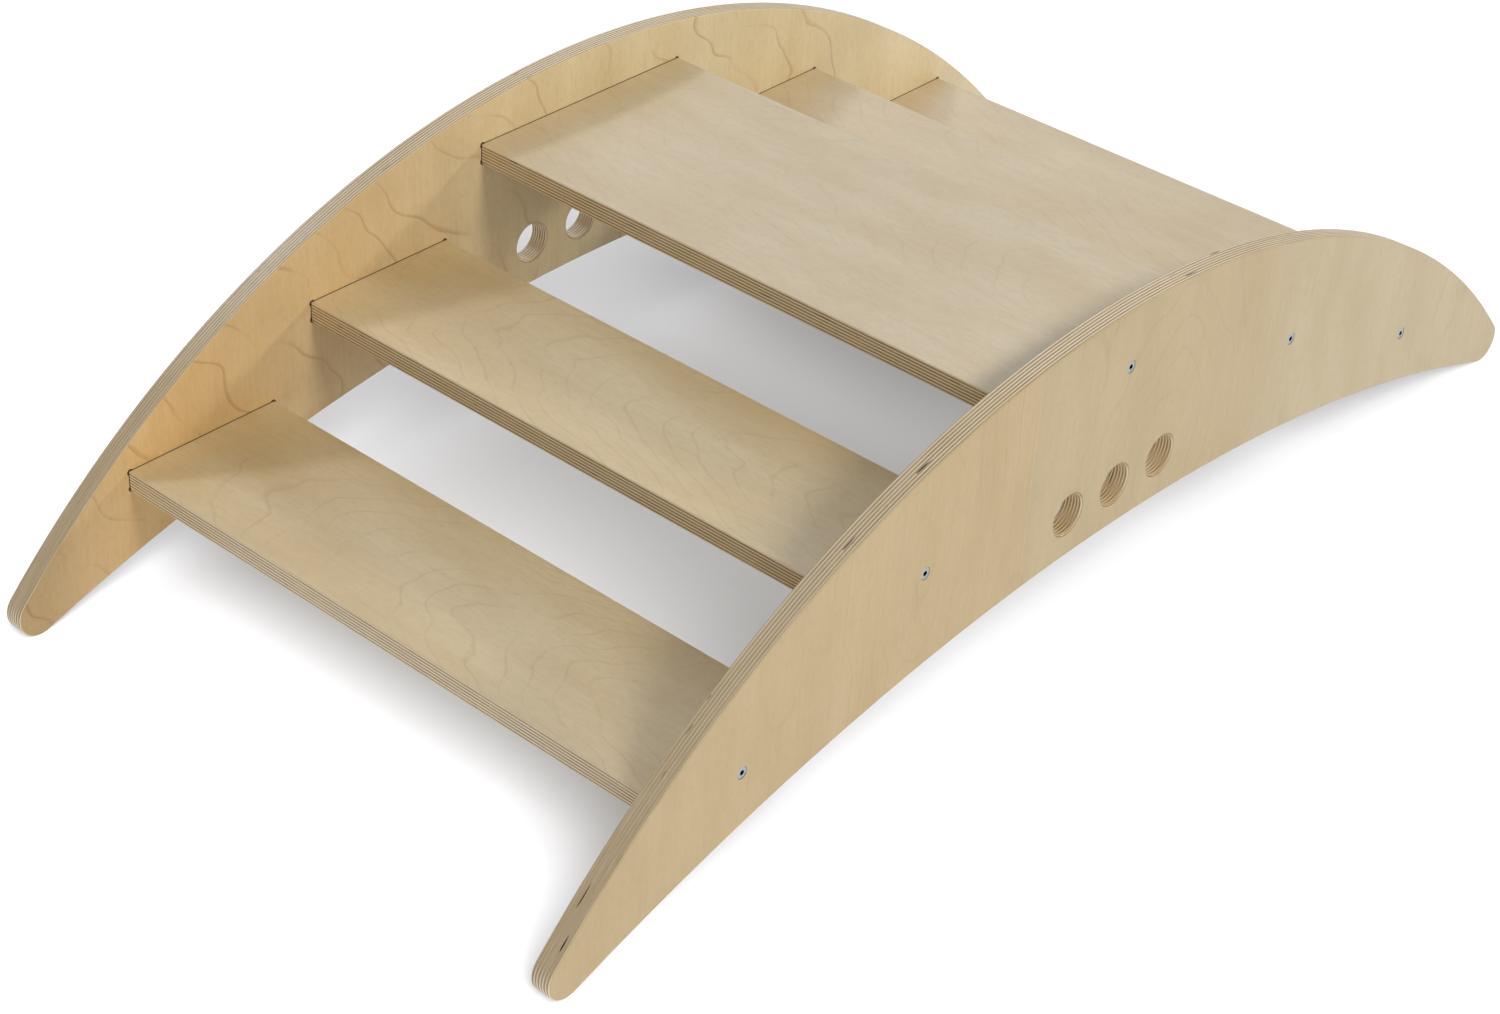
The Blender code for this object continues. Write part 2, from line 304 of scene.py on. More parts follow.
def bore_cutter(x, z, outer_y, along):
    """A countersunk bore from the outer face through the panel and into the board's end."""
    head = HEAD_RADIUS + SCREW_GAP
    shank = SHOULDER_RADIUS + SCREW_GAP
    # The cone starts this much deeper, so that the gap is as wide on its 45 degree slope.
    cone_top = HEAD_RECESS + HEAD_RIM + SCREW_GAP * math.tan(math.radians(22.5))
    cutter = rod("bore", x, z, head, outer_y - along * 2 * MM, outer_y + along * cone_top, 64)
    edit(cutter, "FACE")
    pick(cutter, "faces", lambda f: f.normal.y * along > 0.9)
    draw_out((x, z), along, [(head - shank, shank / head),
                             (HEAD_RECESS + SCREW_LENGTH + 2 * MM - cone_top - head + shank, 1)])
    return close(cutter)


# %% Cut the panels
BOARDS = ("step_low_left", "step_mid_left", "step_top", "step_mid_right", "step_low_right")


def centre_and_size(node):
    """The middle and the size of a fixed solid's box."""
    low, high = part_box(node)
    return (low + high) / 2, high - low


for node, panel in panels.items():
    low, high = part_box(node)
    along = 1 if low.y < 0 else -1
    outer_y, inner_y = (low.y, high.y) if along > 0 else (high.y, low.y)
    cutters = [hole_cutter(step * HOLE_PITCH, low.y, high.y) for step in (-1, 0, 1)]
    for board_node in BOARDS:
        centre, size = centre_and_size(board_node)
        cutters += pocket_cutters(centre.x, centre.z, size.x, size.z, inner_y)
        cutters.append(bore_cutter(centre.x, centre.z, outer_y, along))
    combine(panel, "DIFFERENCE", cutters)
    print(node, "cut by", len(cutters), "tools, faces:", len(panel.data.polygons))

# %% [markdown]
# ## The boards
#
# Five straight boards from the same sheet, with their edges just broken by fine sandpaper.
# A cube at the board's size gets a small bevel all round, and the screw bores go in its ends.

# %% Boards
BOARD_ROUNDING = 1 * MM
boards = {}
for node in BOARDS:
    centre, size = centre_and_size(node)
    bpy.ops.mesh.primitive_cube_add(size=1, location=centre, scale=size)
    board = named(node.replace("step", "plywood_step"))
    edit(board, "EDGE")
    bpy.ops.mesh.select_all(action="SELECT")
    bpy.ops.mesh.bevel(offset=BOARD_ROUNDING, segments=3, profile=0.5)
    close(board)
    combine(board, "DIFFERENCE", [bore_cutter(centre.x, centre.z, along * panel_low.y, along)
                                  for along in (-1, 1)])
    boards[node] = board
    print(node, "faces:", len(board.data.polygons))

# %% [markdown]
# ## Soft corners, flat faces
#
# Smooth shading would bend the light on the big flat faces next to their rounded edges. A
# weighted normal keeps every large face flat and lets only the small rounding turn.

# %% Shade the wood
for piece in (*panels.values(), *boards.values()):
    only(piece)
    bpy.ops.object.shade_smooth_by_angle(angle=math.radians(30), keep_sharp_edges=False)
    apply_modifier(piece, "WEIGHTED_NORMAL", keep_sharp=True, weight=100)
print("wooden pieces shaded:", len(panels) + len(boards))

# %% [markdown]
# ## The connecting screws
#
# Ten alike: a countersunk head with a hexagon socket, a smooth shoulder, and a coarse thread
# down to a blunt point. One is modelled at the origin along Y and copied to each board's end.

# %% One screw
CREST_RADIUS = 3.5 * MM
CORE_RADIUS = 2.5 * MM
THREAD_PITCH = 3.2 * MM
POINT_LENGTH = 5 * MM
SOCKET_WIDTH = 4 * MM
SOCKET_DEPTH = 3 * MM


def thread():
    """A tooth, which is a plane's corner, swept down a helix and sawn off square."""
    turns = int((SCREW_LENGTH - SHOULDER_LENGTH) / THREAD_PITCH) + 3
    begin = SHOULDER_LENGTH - THREAD_PITCH
    bpy.ops.mesh.primitive_plane_add(size=math.sqrt(2), location=(CORE_RADIUS, begin, 0))
    tooth = named("thread")
    edit(tooth)
    bpy.ops.mesh.select_all(action="SELECT")
    bpy.ops.transform.rotate(value=math.radians(45), orient_axis="Z",
                             center_override=(CORE_RADIUS, begin, 0))
    bpy.ops.transform.resize(value=(CREST_RADIUS - CORE_RADIUS, THREAD_PITCH / 2, 1),
                             center_override=(CORE_RADIUS, begin, 0))
    bpy.ops.mesh.select_all(action="DESELECT")
    pick(tooth, "verts", lambda v: v.co.x < CORE_RADIUS - 0.1 * MM)
    bpy.ops.mesh.delete(type="VERT")
    bpy.ops.object.mode_set(mode="OBJECT")
    apply_modifier(tooth, "SCREW", axis="Y", angle=2 * math.pi, steps=32, render_steps=32,
                   screw_offset=THREAD_PITCH, iterations=turns,
                   use_merge_vertices=True, merge_threshold=0.001 * MM)
    for place, side in ((SHOULDER_LENGTH - 1 * MM, -1), (SCREW_LENGTH, 1)):
        edit(tooth)
        bpy.ops.mesh.select_all(action="SELECT")
        bpy.ops.mesh.remove_doubles(threshold=0.001 * MM)
        bpy.ops.mesh.bisect(plane_co=(0, place, 0), plane_no=(0, side, 0),
                            use_fill=True, clear_outer=True, threshold=0.0001 * MM)
        close(tooth)
    return tooth


def make_screw():
    """The whole screw, its head's top at the origin and its point towards +Y."""
    screw = rod("connecting_screw", 0, 0, HEAD_RADIUS, 0, HEAD_RIM)
    slope = HEAD_RADIUS - SHOULDER_RADIUS
    edit(screw, "FACE")
    pick(screw, "faces", lambda f: f.normal.y > 0.9)
    draw_out((0, 0), 1, [(slope, SHOULDER_RADIUS / HEAD_RADIUS),
                         (SHOULDER_LENGTH - slope - HEAD_RIM, 1)])
    bpy.ops.mesh.select_mode(type="EDGE")
    bpy.ops.mesh.select_all(action="DESELECT")
    pick(screw, "edges", lambda e: all(v.co.y < 0.01 * MM for v in e.verts))
    bpy.ops.mesh.bevel(offset=0.15 * MM, segments=3, profile=0.5)
    close(screw)
    blank = rod("blank", 0, 0, CREST_RADIUS - 0.05 * MM,
                SHOULDER_LENGTH - 0.5 * MM, SCREW_LENGTH - POINT_LENGTH)
    edit(blank, "FACE")
    pick(blank, "faces", lambda f: f.normal.y > 0.9)
    draw_out((0, 0), 1, [(POINT_LENGTH - 0.05 * MM, 0.3)])
    close(blank)
    worm = thread()
    combine(worm, "INTERSECT", [blank])
    corner = SOCKET_WIDTH / 2 / math.cos(math.radians(30))
    socket = rod("socket", 0, 0, corner, -SOCKET_DEPTH, SOCKET_DEPTH, 6)
    combine(screw, "UNION", [worm])
    combine(screw, "DIFFERENCE", [socket])
    only(screw)
    bpy.ops.object.shade_smooth_by_angle(angle=math.radians(30))
    # The second slot takes the socket's walls and floor, which are painted nearly black as the
    # shade in the socket.
    bpy.ops.object.material_slot_add()
    bpy.ops.object.material_slot_add()
    edit(screw, "FACE")
    count = pick(screw, "faces", lambda f: any(v.co.y > 0.1 * MM for v in f.verts) and all(
        math.hypot(v.co.x, v.co.z) < corner * 1.01 and v.co.y < SOCKET_DEPTH * 1.01
        for v in f.verts))
    screw.active_material_index = 1
    bpy.ops.object.material_slot_assign()
    bpy.ops.object.mode_set(mode="OBJECT")
    print("faces inside the socket:", count)
    return screw


pattern = make_screw()
print("screw", [round(v / MM, 2) for corner in size_of(pattern) for v in corner],
      "faces:", len(pattern.data.polygons))

# %% Copies of the screw
TURN_STEP = 23                 # degrees, so that neighbouring sockets do not lie alike
screws = {}
for side, side_word in ((-1, "front"), (1, "rear")):
    for index, board_node in enumerate(BOARDS):
        centre, _size = centre_and_size(board_node)
        place = board_node.replace("step_", "")
        copy = pattern.copy()
        copy.data = pattern.data.copy()
        copy.name = f"zinc_screw_{side_word}_{place}"
        bpy.context.scene.collection.objects.link(copy)
        only(copy)
        copy.location = (centre.x, side * (abs(panel_low.y) - HEAD_RECESS), centre.z)
        copy.rotation_euler = (0, math.radians(TURN_STEP * (index + 1)), math.pi * (side > 0))
        bpy.ops.object.transform_apply(location=True, rotation=True, scale=True)
        screws[f"screw_{side_word}_{place}"] = copy
bpy.data.objects.remove(pattern, do_unlink=True)
print("screws:", len(screws))

# %% [markdown]
# ## Birch plywood
#
# The sheet is taken to be 13 birch veneers, glued with the grain of each crossing the next. So
# the look is not paint on a surface but a solid: a face shows one veneer with its wavy growth
# rings and fine pores, a sawn edge shows all 13 as stripes, and a round hole shows the stripes
# trade light for dark as its wall turns. The material works this out from the place inside the
# sheet: u runs along the face grain, v across it, and w through the thickness.

# %% Colour and node helpers
def linear(hex_colour):
    """An sRGB hex colour as the linear RGBA that a shader takes."""
    channels = [int(hex_colour[i:i + 2], 16) / 255 for i in (1, 3, 5)]
    return (*(c / 12.92 if c <= 0.04045 else ((c + 0.055) / 1.055) ** 2.4
              for c in channels), 1)


def add(tree, kind, *values, out=0, **settings):
    """Adds one node, sets and links it, and gives back one of its outputs.

    Values fill the sockets in order, or by name or number from a dict. Each is a constant or
    another node's output, and None leaves a socket alone. Settings are the node's properties.
    """
    made = tree.nodes.new("ShaderNode" + kind)
    for key, value in settings.items():
        setattr(made, key, value)
    by_socket = {}
    for number, value in enumerate(values):
        by_socket.update(value if isinstance(value, dict) else {number: value})
    for key, value in by_socket.items():
        if isinstance(value, bpy.types.NodeSocket):
            tree.links.new(value, made.inputs[key])
        elif value is not None:
            made.inputs[key].default_value = value
    return made.outputs[out] if made.outputs else None


# %% [markdown]
# ## Inside the sheet
#
# Every piece lies in its sheet in its own direction. Turning the object's coordinates into
# millimetres along the sheet's own axes lets one recipe serve all seven pieces, and the
# stripes on an edge then meet the figure on a face at the right corner.

# %% Where a point is in its sheet
PLIES = 13
SHEET_MM = SHEET / MM
print(f"each veneer is {SHEET_MM / PLIES:.2f} mm thick")


def sheet_place(tree, centre, along, across):
    """Object coordinates as millimetres (u, v, w) in the sheet, and the surface's direction."""
    axes = Matrix((along, across, Vector(along).cross(Vector(across))))
    turn = axes.to_euler()
    found = tree.nodes.new("ShaderNodeTexCoord").outputs
    place = add(tree, "Mapping", found["Object"], axes @ Vector(centre) * (-1 / MM), turn,
                (1 / MM, 1 / MM, 1 / MM))
    facing = add(tree, "Mapping", found["Normal"], None, turn)
    return place, facing


def veneer_number(tree, place):
    """Which veneer a point is in, 0 to 12, and how near it is to a glue line, 0 to 0.5."""
    depth = add(tree, "SeparateXYZ", place, out=2)
    scaled = add(tree, "MapRange", depth, -SHEET_MM / 2, SHEET_MM / 2, 0.01, PLIES - 0.01)
    number = add(tree, "Math", scaled, operation="FLOOR")
    inside = add(tree, "Math", scaled, operation="FRACT")
    centred = add(tree, "Math", inside, 0.5, operation="SUBTRACT")
    return number, add(tree, "Math", centred, operation="ABSOLUTE")


# %% [markdown]
# ## The figure of a face veneer
#
# A birch log is turned against a long knife and comes off as one ribbon. The knife crosses a
# growth ring at a flat angle, so a ring shows as a wavy line that wanders over the board. On
# top lie soft clouds, fine streaks along the grain, a mottle like brushed silk and short dark
# pores. All of it is weak: birch is nearly plain, and the eye only wants to find something.

# %% The figure of a face veneer
CLOUD = (150, 48, 0)           # millimetres along and across the grain, and into the sheet
STREAK = (60, 2.6, 3)
PORE = (7, 0.8, 1)
MOTTLE = (9, 5, 0)
RING_PATCH = (110, 70, 0)


def uneven(tree, place, seed, scale, detail=2.0, roughness=0.5, distortion=0.0):
    """An uneven pattern whose lumps measure so many millimetres along u, v and w."""
    stretched = add(tree, "Mapping", place, (seed, seed * 0.37, seed * 0.71), None,
                    tuple(1 / s if s else 0 for s in scale))
    return add(tree, "TexNoise", {"Vector": stretched, "Scale": 1.0, "Detail": detail,
                                  "Roughness": roughness, "Distortion": distortion})


def ring_lines(tree, place, seed, rings):
    """Growth rings of a peeled veneer: contour lines of a gently hilly surface."""
    hills = uneven(tree, place, seed, rings["lump"], 2.0, 0.4, 0.15)
    height = add(tree, "Math", hills, rings["count"], operation="MULTIPLY")
    for (u, v), (long, wide), strength in rings["mounds"]:
        spot = add(tree, "Mapping", place, (-u / long, -v / wide, 0), None,
                   (1 / long, 1 / wide, 0))
        mound = add(tree, "TexGradient", spot, gradient_type="SPHERICAL")
        height = add(tree, "Math", mound, strength, height, operation="MULTIPLY_ADD")
    phase = add(tree, "Math", height, operation="FRACT")
    soft = add(tree, "MapRange", phase, 1 - rings["lead"], 0.985, 0.0, 1.0)
    hard = add(tree, "MapRange", phase, 0.0, rings["tail"], 1.0, 0.0)
    line = add(tree, "Math", soft, hard, operation="MAXIMUM")
    patches = uneven(tree, place, seed + 5, RING_PATCH, 1.0)
    share = add(tree, "MapRange", patches, 0.40, 0.60, rings["least"], 1.0)
    return add(tree, "Math", line, share, operation="MULTIPLY")


def veneer_face(tree, place, seed, outer, inner, rings):
    """The colour of the two face veneers, and the relief of their streaks and pores."""
    clouds = uneven(tree, place, seed + 11, CLOUD, 3.0)
    streaks = uneven(tree, place, seed + 17, STREAK, 3.0, 0.6)
    pores = uneven(tree, place, seed + 23, PORE, 2.0, 0.7)
    mottle = uneven(tree, place, seed + 29, MOTTLE, 2.0, 0.6)
    cloudy = add(tree, "MapRange", clouds, 0.32, 0.68, 0.0, 1.0)
    streaky = add(tree, "MapRange", streaks, 0.40, 0.75, 0.0, 1.0)
    mottled = add(tree, "MapRange", mottle, 0.45, 0.75, 0.0, 1.0)
    porous = add(tree, "MapRange", pores, 0.40, 0.28, 0.0, 1.0)
    ringed = ring_lines(tree, place, seed, rings)
    across = add(tree, "SeparateXYZ", place, out=1)
    sides = []
    for veneer in (outer, inner):
        colour = add(tree, "Mix", {0: cloudy, 6: linear(veneer["light"]),
                                   7: linear(veneer["deep"])}, data_type="RGBA", out=2)
        for amount, share, tone in ((streaky, "streak", "streak_tone"),
                                    (mottled, "mottle", "streak_tone"),
                                    (ringed, "ring", "ring_tone"),
                                    (porous, "pore", "ring_tone")):
            part = add(tree, "Math", amount, veneer[share], operation="MULTIPLY")
            colour = add(tree, "Mix", {0: part, 6: colour, 7: linear(veneer[tone])},
                         data_type="RGBA", out=2)
        # On the golden face the dark first strip is painted shade at the left end, and the wide
        # strips on both faces are painted light and shade; the narrow strips are joints between
        # veneers.
        strip_and_shade_tint = linear(veneer["first_strip_and_painted_shade"])
        for begin, end, tint in veneer["strips"]:
            beyond = add(tree, "MapRange", across, begin, end, 0.0, 1.0)
            strip_and_shade_tint = add(tree, "Mix", {0: beyond, 6: strip_and_shade_tint, 7: linear(tint)},
                      data_type="RGBA", out=2)
        colour = add(tree, "Mix", {0: 1.0, 6: colour, 7: strip_and_shade_tint},
                     data_type="RGBA", blend_type="MULTIPLY", out=2)
        sides.append(colour)
    depth = add(tree, "SeparateXYZ", place, out=2)
    colour = add(tree, "Mix", {0: add(tree, "Math", depth, 0.0, operation="GREATER_THAN"),
                               6: sides[0], 7: sides[1]}, data_type="RGBA", out=2)
    relief = add(tree, "Math", streaks, pores, operation="ADD")
    return colour, relief, streaks


# %% [markdown]
# ## The sawn edge
#
# Where the saw runs along a veneer's grain the veneer is pale and streaky. Where it cuts across,
# the open ends of the fibres drink the varnish and turn brown. The veneers take turns, so the
# edge is striped, and on the round tips and in the finger holes the stripes change places. Thin
# dark glue lines part them, and here and there a core veneer has a gap.

# %% The sawn edge of the sheet
LONG_TONE = (45, 45, 2.5)      # millimetres, as for the face
SPECKLE = (0.9, 0.9, 0.5)
GAP = (26, 26, 1.6)
# The last colour is painted shade, nearly black: it fills the core gaps, which are not cut, and
# the joint line on the boards, where the real gap is too narrow to shade itself.
EDGE = {"pale": "#FBF0D6", "pale_deep": "#F4E4C2", "end": "#CFB17A", "end_deep": "#B08E58",
        "pore": "#7C583A", "glue": "#6C502A", "gap_shade": "#1E130A"}


def sawn_edge(tree, place, facing, seed):
    """Long grain is pale and streaky, end grain is brown and speckled, glue lines are dark."""
    number, from_middle = veneer_number(tree, place)
    crossed = add(tree, "Math", number, 2.0, operation="MODULO")
    straight = add(tree, "Math", 1.0, crossed, operation="SUBTRACT")
    squares = add(tree, "VectorMath", facing, facing, operation="MULTIPLY")
    lying = add(tree, "CombineXYZ", straight, crossed, 0.0)
    end_grain = add(tree, "VectorMath", squares, lying, operation="DOT_PRODUCT", out=1)
    veneer = add(tree, "Math", number, 3.7, operation="MULTIPLY")
    apart = add(tree, "VectorMath", place, add(tree, "CombineXYZ", 0.0, 0.0, veneer),
                operation="ADD")
    tone = add(tree, "MapRange", uneven(tree, apart, seed, LONG_TONE, 3.0, 0.6),
               0.35, 0.65, 0.0, 1.0)
    speckle = uneven(tree, place, seed + 3, SPECKLE, 2.0, 0.7)
    pale = add(tree, "Mix", {0: tone, 6: linear(EDGE["pale"]), 7: linear(EDGE["pale_deep"])},
               data_type="RGBA", out=2)
    brown = add(tree, "Mix", {0: tone, 6: linear(EDGE["end"]), 7: linear(EDGE["end_deep"])},
                data_type="RGBA", out=2)
    brown = add(tree, "Mix", {0: add(tree, "MapRange", speckle, 0.55, 0.35, 0.0, 0.45),
                              6: brown, 7: linear(EDGE["pore"])}, data_type="RGBA", out=2)
    colour = add(tree, "Mix", {0: end_grain, 6: pale, 7: brown}, data_type="RGBA", out=2)
    glue = add(tree, "MapRange", from_middle, 0.41, 0.48, 0.0, 0.85)
    colour = add(tree, "Mix", {0: glue, 6: colour, 7: linear(EDGE["glue"])},
                 data_type="RGBA", out=2)
    # Here and there a core veneer has a real gap; it is not cut, and it is painted nearly black
    # as the shade inside it.
    gaps = uneven(tree, apart, seed + 7, GAP, 0.0)
    gap_shade = add(tree, "Math", add(tree, "MapRange", gaps, 0.80, 0.81, 0.0, 1.0), crossed,
               operation="MULTIPLY")
    return add(tree, "Mix", {0: gap_shade, 6: colour, 7: linear(EDGE["gap_shade"])},
               data_type="RGBA", out=2)


# %% [markdown]
# ## Face and edge under one varnish
#
# The surface's direction says whether a point is on a face or on a sawn edge, and the 1 mm
# roundings blend the two. A thin satin varnish lies over everything. It follows the pores a
# little, so a low light shows the grain as a faint change of sheen more than as relief.

# %% The plywood itself
SATIN = (0.36, 0.48)           # roughness on dense and on open streaks
RELIEF = 0.2 * MM
# The joint's dark line is painted shade of the narrow gap between board and pocket.
GAP_SHADE_WIDTH = 0.9               # millimetres of board that the joint's dark line covers


def birch_plywood(name, centre, along, across, seed, outer, inner, rings, joint=None):
    """Birch plywood under a thin satin varnish, its face grain along one axis.

    The outer veneer is on the sheet's -w side and the inner one on its +w side. The joint is
    so many millimetres from the middle. Just before it the board is painted dark as painted
    shade of the gap, because the real gap is too narrow to read as a line.
    """
    material = bpy.data.materials.new(name)
    material.use_nodes = True
    tree = material.node_tree
    tree.nodes.clear()
    place, facing = sheet_place(tree, centre, along, across)
    face, relief, streaks = veneer_face(tree, place, seed, outer, inner, rings)
    edge = sawn_edge(tree, place, facing, seed)
    flatness = add(tree, "Math", add(tree, "SeparateXYZ", facing, out=2), operation="ABSOLUTE")
    is_face = add(tree, "MapRange", flatness, 0.55, 0.85, 0.0, 1.0)
    colour = add(tree, "Mix", {0: is_face, 6: edge, 7: face}, data_type="RGBA", out=2)
    if joint:
        # The board's end is painted dark as the shade in the gap where it enters the pocket.
        reach = add(tree, "Math", add(tree, "SeparateXYZ", place), operation="ABSOLUTE")
        painted_gap_shade = add(tree, "MapRange", reach, joint - GAP_SHADE_WIDTH, joint - GAP_SHADE_WIDTH / 2,
                       0.0, 0.85)
        colour = add(tree, "Mix", {0: painted_gap_shade, 6: colour, 7: linear(EDGE["gap_shade"])},
                     data_type="RGBA", out=2)
    rough = add(tree, "MapRange", streaks, 0.3, 0.7, *SATIN)
    bump = add(tree, "Bump", {"Height": relief, "Strength": 0.06, "Distance": RELIEF})
    shader = add(tree, "BsdfPrincipled", {
        "Base Color": colour, "Roughness": rough, "Normal": bump, "IOR": 1.5,
        "Specular IOR Level": 0.5})
    add(tree, "OutputMaterial", shader)
    return material


# %% [markdown]
# ## One sheet, several veneers
#
# No two veneers of birch are alike, and the eye knows it. The outer faces are pale and almost
# plain. The inner faces are honey coloured with wavy rings. The two left boards are warmer than
# the other three and carry rings that cross them like ripples.
#
# A narrow change of tint is a joint between two strips of veneer. The wide ones are not wood:
# they stand in for light that the lamps below do not give, most of all the dark left end of
# the inner faces. They stay on the pieces under any other light, where they may look wrong.
#
# Ring lines are contour lines: a wide low mound gives the ripples, and a little unevenness
# keeps them from looking drawn.

# %% Varnished birch for each piece
UP, RIGHT, BACK = (0, 0, 1), (1, 0, 0), (0, 1, 0)


def veneer(light, deep, streak_tone, ring_tone, streak, mottle, ring, pore,
           first_strip_and_painted_shade="#FFFFFF", strips=()):
    """One face. Each tint starts to take over at its begin and has done so by its end."""
    return {"light": light, "deep": deep, "streak_tone": streak_tone, "ring_tone": ring_tone,
            "streak": streak, "mottle": mottle, "ring": ring, "pore": pore,
            "first_strip_and_painted_shade": first_strip_and_painted_shade, "strips": strips}


# GOLDEN's dark first strip and the wide strips of both faces are painted shade and painted
# light, not veneer.
PALE = veneer("#CDBD9C", "#C5B491", "#B6A17A", "#9E7E56", 0.12, 0.20, 0.14, 0.20,
              "#FBF4E6", [(-116.0, -115.6, "#FFFEF6"), (-114.8, -114.4, "#F7F4EB"),
                          (180, 240, "#FCFEFE")])
GOLDEN = veneer("#EDE0BC", "#E4D4AC", "#D4BB8E", "#A87642", 0.20, 0.25, 0.36, 0.25,
                "#C8B496", [(-590, -490, "#F8E2C6"), (-470, 40, "#FFFFFF")])
WARM_BOARD = veneer("#E8D6AE", "#DDC79A", "#CBB284", "#B08A58", 0.20, 0.22, 0.19, 0.22)
BOARD = veneer("#E3D4B6", "#DAC8A4", "#C9B48C", "#A8885E", 0.20, 0.22, 0.12, 0.22)
# lump: millimetres of the unevenness. count: how many lines it makes. lead and tail: the soft
# and the hard side of a line, as shares of the way to the next one. least: how much of a line
# shows everywhere. mounds: the place, the half widths and the number of lines of each mound.
NEAR_RINGS = {"lump": (110, 70, 0), "count": 3.0, "lead": 0.14, "tail": 0.03, "least": 0.0,
              "mounds": [((30, -237), (330, 110), 7.0), ((-40, 60), (260, 120), 6.0)]}
FAR_RINGS = {"lump": (90, 120, 0), "count": 2.6, "lead": 0.08, "tail": 0.02, "least": 0.15,
             "mounds": [((-160, -1100), (800, 1500), 30.0)]}
BOARD_RINGS = {"lump": (110, 60, 0), "count": 3.0, "lead": 0.12, "tail": 0.03, "least": 0.0}
for index, (node, panel) in enumerate(panels.items()):
    centre, _size = centre_and_size(node)
    faces, rings = (((PALE, GOLDEN), NEAR_RINGS) if centre.y < 0
                    else ((GOLDEN, PALE), FAR_RINGS))
    wood = birch_plywood(f"varnished birch plywood, {node}", centre, UP, RIGHT, 3.1 + 9 * index,
                         *faces, rings)
    panel.data.materials.clear()
    panel.data.materials.append(wood)
joint = abs(panel_high.y) / MM
for index, (node, board) in enumerate(boards.items()):
    centre, _size = centre_and_size(node)
    tone = WARM_BOARD if "left" in node else BOARD
    crest = (-760 - 60 * index, 10 - 34 * index)
    rings = {**BOARD_RINGS, "mounds": [(crest, (1600, 330), 46.0)]}
    wood = birch_plywood(f"varnished birch plywood, {node}", centre, BACK, (-1, 0, 0),
                         41.0 + 7 * index, tone, tone, rings, joint=joint)
    board.data.materials.clear()
    board.data.materials.append(wood)
    print(node, "wears", wood.name)

# %% [markdown]
# ## Zinc-plated screws
#
# The screws are turned from steel and plated bright zinc, which is a bluish grey metal with a
# faint spangle. The head is small, so one fine pattern is enough: it moves both the colour and
# the roughness a little. The hexagon socket's walls and floor are painted nearly black as
# painted shade, so that the socket reads from far away.

# %% Zinc-plated steel
SPANGLE = 0.6 * MM


def metal(name, dull, bright, smooth, rough):
    """Steel whose colour and roughness move a little from one grain to the next."""
    material = bpy.data.materials.new(name)
    material.use_nodes = True
    tree = material.node_tree
    tree.nodes.clear()
    position = tree.nodes.new("ShaderNodeTexCoord").outputs["Object"]
    grains = add(tree, "TexNoise", {"Vector": position, "Scale": 1 / SPANGLE, "Detail": 3.0})
    colour = add(tree, "Mix", {0: grains, 6: linear(dull), 7: linear(bright)},
                 data_type="RGBA", out=2)
    shader = add(tree, "BsdfPrincipled", {
        "Base Color": colour, "Metallic": 1.0,
        "Roughness": add(tree, "MapRange", grains, 0.3, 0.7, smooth, rough)})
    add(tree, "OutputMaterial", shader)
    return material


zinc = metal("zinc-plated steel", "#9CA6AC", "#C6CED2", 0.28, 0.42)
# The socket's steel is painted nearly black as painted shade in the recess.
socket_shade = metal("steel painted black as shade in the socket", "#16181A", "#24272A", 0.5, 0.6)
for screw in screws.values():
    screw.data.materials[0] = zinc
    screw.data.materials[1] = socket_shade
print("screws plated:", len(screws))

# %% [markdown]
# ## Onto the frame
#
# The seesaw has no joint that moves, so every piece rides the one body, and the solid that it
# stands for is hidden.

# %% Fasten every piece to the frame
for node, piece in {**panels, **boards, **screws}.items():
    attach(piece, "root")
    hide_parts(node)
print("fastened:", len(panels) + len(boards) + len(screws), "pieces")

# %% [markdown]
# ## Floor, light and camera
#
# The seesaw stands on a white studio floor that is lit from below as well, so that it stays
# white and its shadows stay soft and neutral. Cool light comes from behind and gives the boards
# their sheen; slightly warmer light comes from the front and fills the outer face. The floor has
# three wide lamps of its own, so its shadows can be softer than the ones on the boards. The two
# sets of lamps stand in different places, so this is not one real set of lights.

# %% Floor
def lit_only(name, members):
    """A collection of the only things that a lamp lights."""
    group = bpy.data.collections.new(name)
    for member in members:
        group.objects.link(member)
    return group


FLOOR_SIZE = 300               # metres, so that its far edge lies on the horizon
FLOOR_GLOW = 0.25
bpy.ops.mesh.primitive_plane_add(size=FLOOR_SIZE, location=(0, 0, panel_low.z))
floor = named("studio_floor")
opal = bpy.data.materials.new("opal acrylic lit softly from below")
opal.use_nodes = True
acrylic = opal.node_tree.nodes["Principled BSDF"].inputs
acrylic["Base Color"].default_value = linear("#909092")
acrylic["Roughness"].default_value = 0.9
acrylic["Specular IOR Level"].default_value = 0.1
acrylic["Emission Color"].default_value = linear("#FFFFFF")
acrylic["Emission Strength"].default_value = FLOOR_GLOW
floor.data.materials.append(opal)
print("floor at z =", round(panel_low.z, 4))
# The glow lights only the floor, so that the undersides of the boards stay in shade.
own_glow = lit_only("lit by the floor's glow", [floor])
floor.light_linking.receiver_collection = own_glow

# %% Light
world = bpy.data.worlds.new("white surround")
bpy.context.scene.world = world
world.use_nodes = True
backdrop = world.node_tree.nodes["Background"].inputs
backdrop["Color"].default_value = linear("#FFFFFF")
backdrop["Strength"].default_value = 0.06


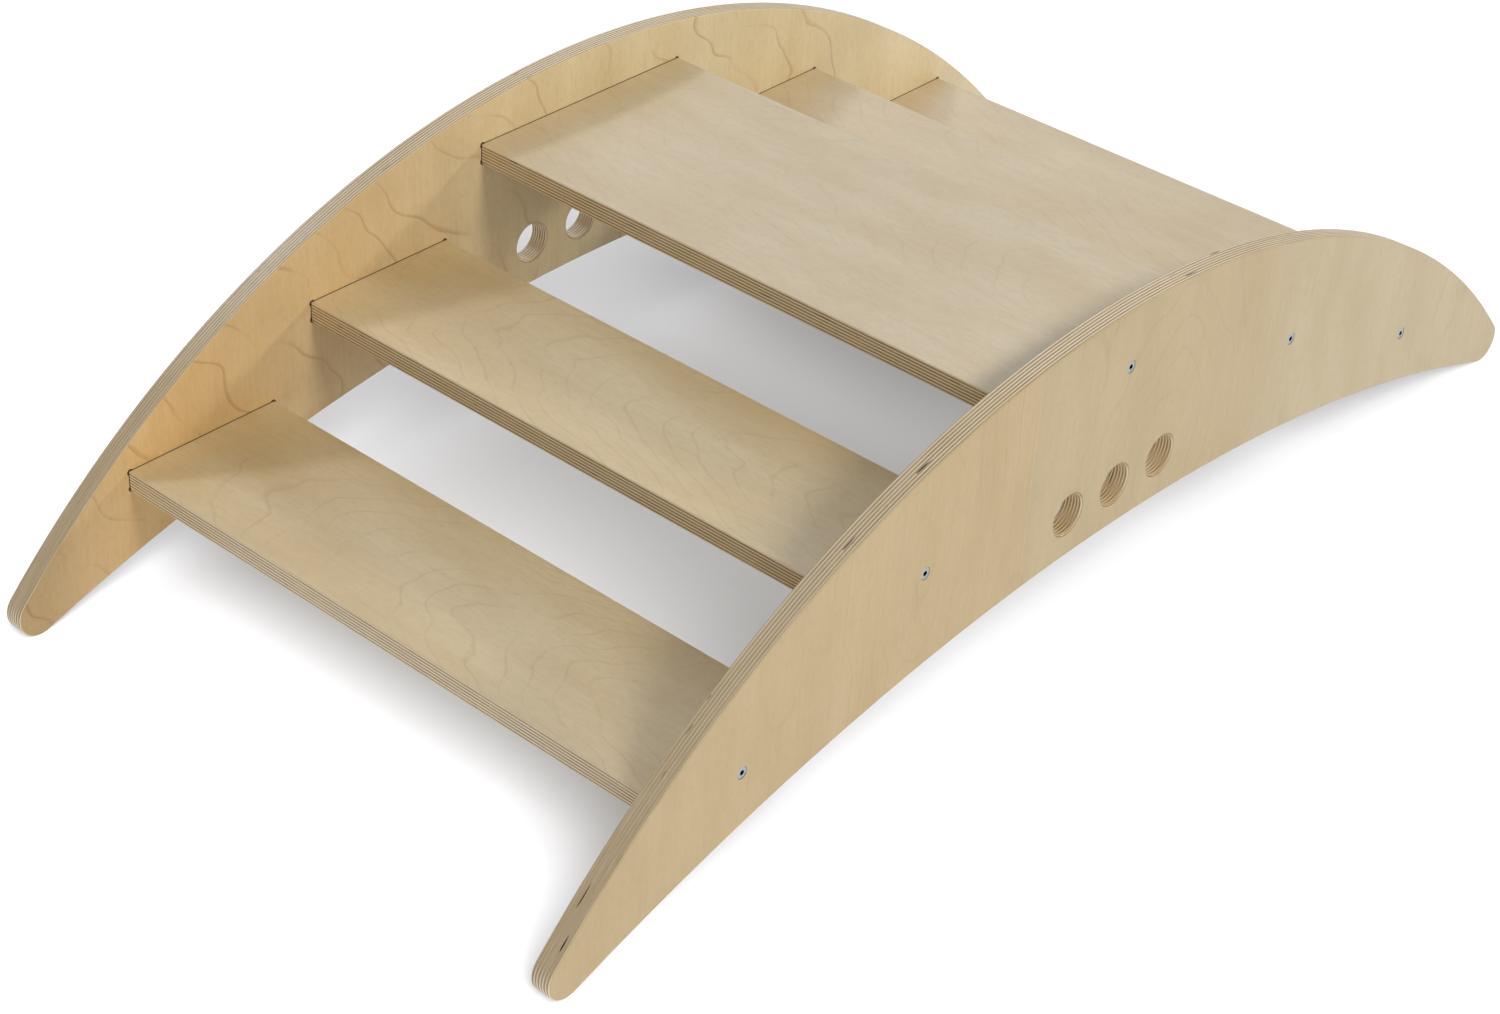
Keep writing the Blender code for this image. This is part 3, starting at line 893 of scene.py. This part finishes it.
def sun(name, azimuth, elevation, strength, softness, tint, receivers):
    """A far, soft light. Azimuth 0 shines from -Y and 90 from +X, in degrees."""
    lamp = bpy.data.lights.new(name, "SUN")
    lamp.energy = strength
    lamp.color = linear(tint)[:3]
    lamp.angle = math.radians(softness)
    holder = bpy.data.objects.new(name, lamp)
    a, e = math.radians(azimuth), math.radians(elevation)
    towards = Vector((math.sin(a) * math.cos(e), -math.cos(a) * math.cos(e), math.sin(e)))
    holder.rotation_euler = towards.to_track_quat("Z", "Y").to_euler()
    holder.light_linking.receiver_collection = receivers
    bpy.context.scene.collection.objects.link(holder)


seesaw = lit_only("seesaw only", [*panels.values(), *boards.values(), *screws.values()])
ground = lit_only("floor only", [floor])
sun("behind", 180, 45, 0.64, 9, "#F0F5FF", seesaw)
sun("behind right", 131, 36, 0.88, 50, "#F0F5FF", seesaw)
sun("front right", 63, 24, 0.80, 7, "#FFF6E8", seesaw)
sun("front", 0, 40, 1.10, 16, "#FFF6E8", seesaw)
sun("front left", -42, 35, 0.46, 30, "#FFF6E8", seesaw)
sun("floor, low front", -35, 38, 10.2, 34, "#FFFFFF", ground)
sun("floor, high front", -5, 70, 3.6, 42, "#FFFFFF", ground)
sun("floor, low back", -140, 42, 1.8, 50, "#FFFFFF", ground)
print("lamps:", len(bpy.data.lights))

# %% [markdown]
# ## Camera
#
# A long lens from the front left and well above, rolled very slightly, with the frame shifted
# so that the seesaw fills it.

# %% Camera
STAND = (-1.68095, -1.34240, 1.43067)
SENSOR, FOCAL_LENGTH = 36, 72.04
SHIFT = (0.0344, 0.0831)
AZIMUTH, ELEVATION, ROLL = (math.radians(v) for v in (-48.95, 36.61, 2.74))
back = Vector((math.sin(AZIMUTH) * math.cos(ELEVATION),
               -math.cos(AZIMUTH) * math.cos(ELEVATION), math.sin(ELEVATION)))
level = Vector((0, 0, 1)).cross(back).normalized()
upright = back.cross(level)
right = level * math.cos(ROLL) + upright * math.sin(ROLL)
above = upright * math.cos(ROLL) - level * math.sin(ROLL)
lens = bpy.data.cameras.new("camera")
lens.sensor_width = SENSOR
lens.lens = FOCAL_LENGTH
lens.shift_x, lens.shift_y = SHIFT
camera = bpy.data.objects.new("camera", lens)
camera.matrix_world = Matrix.Translation(STAND) @ Matrix(
    (right, above, back)).transposed().to_4x4()
bpy.context.scene.collection.objects.link(camera)
bpy.context.scene.camera = camera
print(f"camera {camera.matrix_world.translation.length:.2f} m from the middle")
bpy.context.scene.view_settings.view_transform = "Standard"
